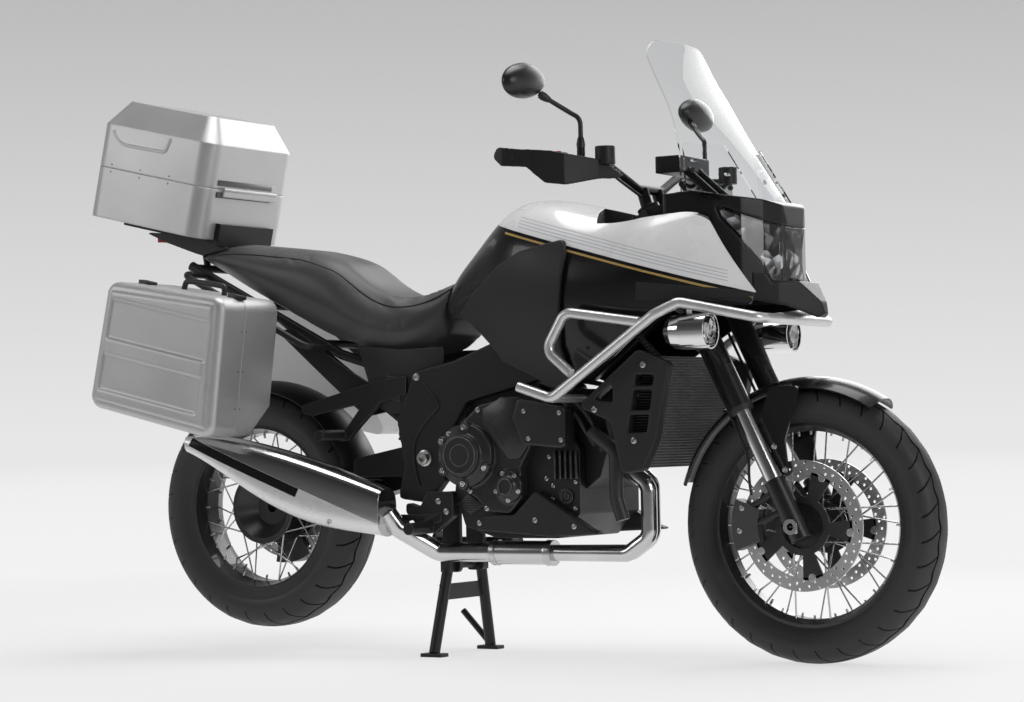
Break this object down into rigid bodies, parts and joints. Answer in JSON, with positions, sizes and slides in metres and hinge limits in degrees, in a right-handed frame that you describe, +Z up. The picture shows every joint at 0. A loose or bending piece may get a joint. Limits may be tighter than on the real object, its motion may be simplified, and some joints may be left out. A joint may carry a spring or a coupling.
{
  "type": "adventure motorcycle",
  "caption": "Adventure touring motorcycle on its centre stand, with spoked wheels, tall clear screen, crash bars and metal luggage cases.",
  "frame": {"origin": "bottom centre of the bounding box, on the floor under the centre stand", "axes": "+X forward, +Y to the rider's left, +Z up"},
  "size_m": [2.396, 1.048, 1.503],
  "materials": {
    "tyre": "matt black rubber",
    "rim_black": "satin black",
    "hub_black": "satin black with bright steel spokes",
    "disc_steel": "ground steel",
    "fork_black": "satin black",
    "axle_steel": "bright steel",
    "frame_grey": "satin dark grey",
    "bar_black": "satin black",
    "caliper_grey": "satin dark grey",
    "engine_grey": "painted casting, dark grey",
    "cover_grey": "painted casting, mid grey",
    "exhaust_steel": "polished steel",
    "silencer_steel": "satin steel",
    "radiator_black": "matt black fins",
    "plastic_dark": "grained, dark grey",
    "plastic_black": "grained, black",
    "gloss_black": "gloss black",
    "pearl_white": "pearl white",
    "hose_grey": "matt grey",
    "seat_vinyl": "matt dark grey vinyl",
    "lamp_glass": "clear lens",
    "screen_clear": "clear",
    "bar_silver": "satin silver",
    "lamp_chrome": "chromed",
    "case_aluminium": "satin",
    "mirror_black": "satin black"
  },
  "bodies": {
    "chassis": {"main_frame": "frame_grey", "cowl_stay": "frame_grey", "stand_brackets": "frame_grey", "engine_block": "engine_grey", "cylinder_heads": "engine_grey", "engine_covers": "cover_grey", "exhaust_headers": "exhaust_steel", "silencer": "silencer_steel", "radiator": "radiator_black", "radiator_shrouds": "plastic_dark", "coolant_pipe": "hose_grey", "belly_pan": "plastic_dark", "swingarm": "frame_grey", "rear_caliper": "caliper_grey", "rear_hugger": "plastic_black", "rear_subframe": "frame_grey", "seat": "seat_vinyl", "fuel_tank": "gloss_black", "upper_cover": "pearl_white", "side_fairings": "gloss_black", "knee_panels": "plastic_dark", "headlamp": "lamp_glass", "front_cowl": "plastic_black", "beak": "plastic_black", "windscreen": "screen_clear", "wind_deflectors": "screen_clear", "instruments": "plastic_black", "crash_bars": "bar_silver", "fog_lamps": "lamp_chrome", "footpegs": "frame_grey", "pillion_brackets": "frame_grey", "right_case_base": "case_aluminium", "left_case_base": "case_aluminium", "top_case_base": "case_aluminium", "top_case_plate": "plastic_black", "tail_unit": "plastic_black", "luggage_rack": "frame_grey"},
    "steering": {"triple_clamps": "fork_black", "fork_outer_tubes": "fork_black", "fork_legs": "fork_black", "front_axle": "axle_steel", "front_mudguard": "gloss_black", "front_calipers": "caliper_grey", "handlebar": "bar_black", "handlebar_controls": "bar_black", "handguards": "plastic_black", "mirrors": "mirror_black"},
    "front_wheel": {"front_tyre": "tyre", "front_rim": "rim_black", "front_hub": "hub_black", "front_brake_discs": "disc_steel"},
    "rear_wheel": {"rear_tyre": "tyre", "rear_rim": "rim_black", "rear_hub": "hub_black", "rear_brake_disc": "disc_steel"},
    "centre_stand": {"centre_stand": "frame_grey"},
    "side_stand": {"side_stand": "frame_grey"},
    "top_case_lid": {"top_case_lid": "case_aluminium"},
    "right_case_lid": {"right_case_lid": "case_aluminium"},
    "left_case_lid": {"left_case_lid": "case_aluminium"}
  },
  "joints": [
    {"name": "steering_turn", "type": "hinge", "parent": "chassis", "child": "steering", "pos_m": [0.82174, 0, 0.31278], "axis": [-0.4384, 0, 0.8988], "range_deg": [-30, 30]},
    {"name": "front_wheel_spin", "type": "hinge", "parent": "steering", "child": "front_wheel", "pos_m": [0.855, 0, 0.329], "axis": [0, 1, 0], "continuous": true},
    {"name": "rear_wheel_spin", "type": "hinge", "parent": "chassis", "child": "rear_wheel", "pos_m": [-0.74, 0, 0.374], "axis": [0, 1, 0], "continuous": true},
    {"name": "centre_stand_fold", "type": "hinge", "parent": "chassis", "child": "centre_stand", "pos_m": [-0.13, 0, 0.225], "axis": [0, 1, 0], "range_deg": [0, 65]},
    {"name": "side_stand_fold", "type": "hinge", "parent": "chassis", "child": "side_stand", "pos_m": [-0.07, 0.128, 0.268], "axis": [0, -0.9397, -0.342], "range_deg": [0, 100]},
    {"name": "top_case_lid_hinge", "type": "hinge", "parent": "chassis", "child": "top_case_lid", "pos_m": [-0.79524, 0, 1.22066], "axis": [0, 1, 0], "range_deg": [0, 75]},
    {"name": "right_case_lid_hinge", "type": "hinge", "parent": "chassis", "child": "right_case_lid", "pos_m": [-0.78017, -0.3704, 0.59569], "axis": [0.9744, 0, -0.225], "range_deg": [0, 70]},
    {"name": "left_case_lid_hinge", "type": "hinge", "parent": "chassis", "child": "left_case_lid", "pos_m": [-0.78017, 0.3704, 0.59569], "axis": [-0.9744, 0, 0.225], "range_deg": [0, 70]}
  ]
}
